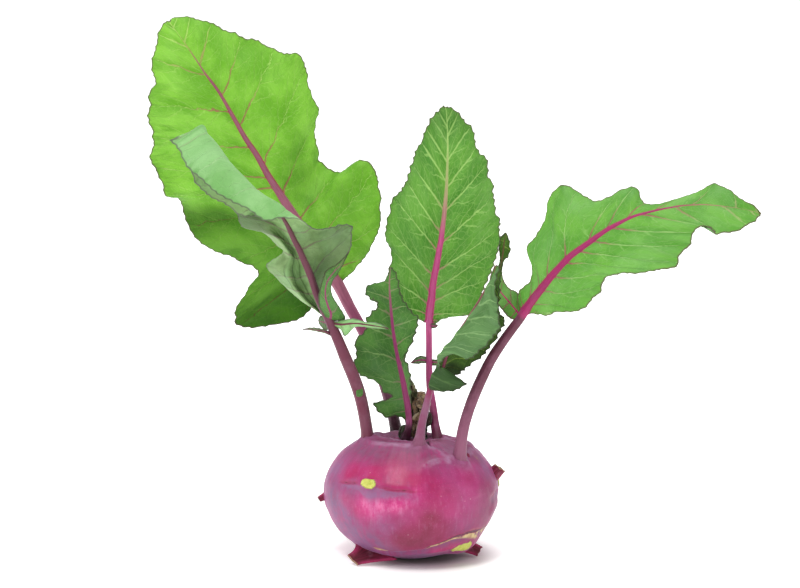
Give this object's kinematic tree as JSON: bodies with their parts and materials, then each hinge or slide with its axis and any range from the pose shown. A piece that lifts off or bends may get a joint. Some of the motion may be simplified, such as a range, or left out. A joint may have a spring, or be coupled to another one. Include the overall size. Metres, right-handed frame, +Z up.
{
  "type": "kohlrabi with leaves",
  "caption": "Purple kohlrabi: a round swollen stem standing on a small flat spot, with long purple leaf stalks rising from its crown to lobed green leaves.",
  "frame": {"origin": "middle of the flat spot under the bulb, on the surface it rests on", "axes": "+Z up from the flat spot to the leaves, +X towards the long right-hand leaf, +Y towards the rear leaves"},
  "size_m": [0.2828, 0.1482, 0.2485],
  "materials": {
    "bulb_skin": "satin",
    "stalk_purple": "satin",
    "stalk_magenta": "satin",
    "leaf_bright": "satin",
    "leaf_dark": "satin",
    "leaf_waxy": "satin",
    "stub": "matte",
    "heart_leaf": "matte"
  },
  "bodies": {
    "root": {"bulb": "bulb_skin", "petiole_back_left": "stalk_magenta", "petiole_front_left": "stalk_purple", "petiole_centre_left": "stalk_magenta", "petiole_back": "stalk_magenta", "petiole_front": "stalk_magenta", "petiole_right": "stalk_purple", "blade_back_left": "leaf_bright", "blade_front_left": "leaf_waxy", "blade_centre_left": "leaf_dark", "blade_back": "leaf_bright", "blade_front": "leaf_waxy", "blade_right": "leaf_bright", "leaflet_front_left_1": "leaf_dark", "leaflet_front_left_2": "leaf_waxy", "leaflet_front_left_3": "leaf_waxy", "leaflet_front_left_4": "leaf_dark", "leaflet_right_1": "leaf_dark", "leaflet_back_1": "leaf_dark", "leaflet_back_2": "leaf_dark", "leaflet_back_3": "leaf_dark", "leaf_stub_left": "stub", "leaf_stub_right": "stub", "leaf_stub_low_left": "stub", "leaf_stub_low_right": "stub", "leaf_stub_rear_left": "stub", "leaf_stub_rear_right": "stub", "leaf_stub_rear_high": "stub", "heart_leaf_curled": "heart_leaf", "heart_leaf_upright": "heart_leaf", "heart_leaf_small": "leaf_dark", "bud_knob": "stub"}
  },
  "joints": []
}
